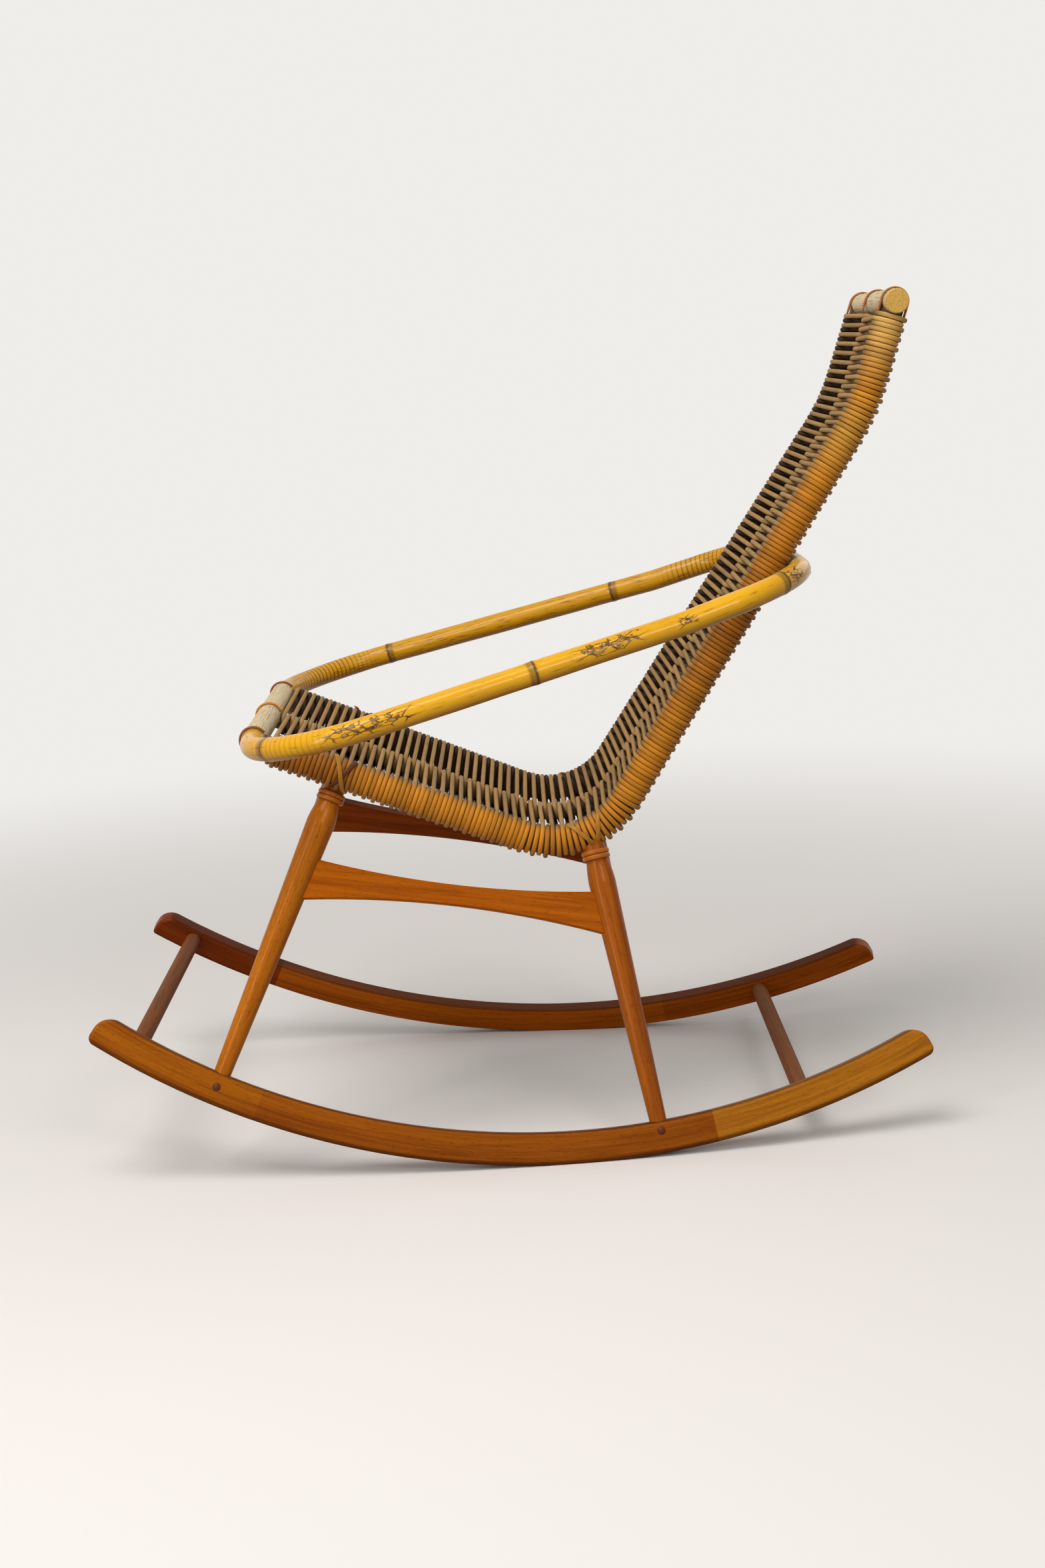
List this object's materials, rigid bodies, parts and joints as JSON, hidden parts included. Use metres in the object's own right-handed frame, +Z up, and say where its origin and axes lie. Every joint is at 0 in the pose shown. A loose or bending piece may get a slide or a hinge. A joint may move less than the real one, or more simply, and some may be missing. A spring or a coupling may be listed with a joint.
{
  "type": "rattan rocking chair",
  "caption": "Low rocking chair with a woven reed seat and back in one bend, a bent pole hoop for arms, turned legs and glued-up wooden rockers",
  "frame": {"origin": "Middle of the chair's overall box, on the floor that the rockers stand on.", "axes": "+Z up; the sitter faces -Y; +X is the sitter's left; the chair stands where it comes to rest empty."},
  "size_m": [0.6533, 0.9374, 0.9279],
  "materials": {
    "varnished_hardwood": "satin",
    "stained_hardwood": "satin",
    "dark_peg": "satin",
    "yellow_cane_pole": "gloss",
    "peeled_pole": "matte",
    "woven_reed": "satin",
    "cane_strip": "satin",
    "bright_nail": "satin"
  },
  "bodies": {
    "root": {"left_rocker_front": "varnished_hardwood", "left_rocker_middle": "varnished_hardwood", "left_rocker_rear": "varnished_hardwood", "left_front_leg": "varnished_hardwood", "left_rear_leg": "varnished_hardwood", "left_side_rail": "varnished_hardwood", "left_front_leg_lashing": "cane_strip", "left_rear_leg_lashing": "cane_strip", "left_front_lashing": "cane_strip", "left_top_lashing": "cane_strip", "left_side_pole": "peeled_pole", "left_seat_weave": "woven_reed", "left_lap_weave": "woven_reed", "left_back_weave": "woven_reed", "left_head_weave": "woven_reed", "right_rocker_front": "varnished_hardwood", "right_rocker_middle": "varnished_hardwood", "right_rocker_rear": "varnished_hardwood", "right_front_leg": "varnished_hardwood", "right_rear_leg": "varnished_hardwood", "right_side_rail": "varnished_hardwood", "right_front_leg_lashing": "cane_strip", "right_rear_leg_lashing": "cane_strip", "right_front_lashing": "cane_strip", "right_top_lashing": "cane_strip", "right_side_pole": "peeled_pole", "right_seat_weave": "woven_reed", "right_lap_weave": "woven_reed", "right_back_weave": "woven_reed", "right_head_weave": "woven_reed", "front_stretcher": "stained_hardwood", "rear_stretcher": "stained_hardwood", "middle_front_lashing": "cane_strip", "middle_top_lashing": "cane_strip", "middle_pole": "peeled_pole", "front_rail": "peeled_pole", "top_rail": "peeled_pole", "arm_hoop": "yellow_cane_pole", "leg_pins": "dark_peg", "hoop_nails": "bright_nail"}
  },
  "joints": []
}
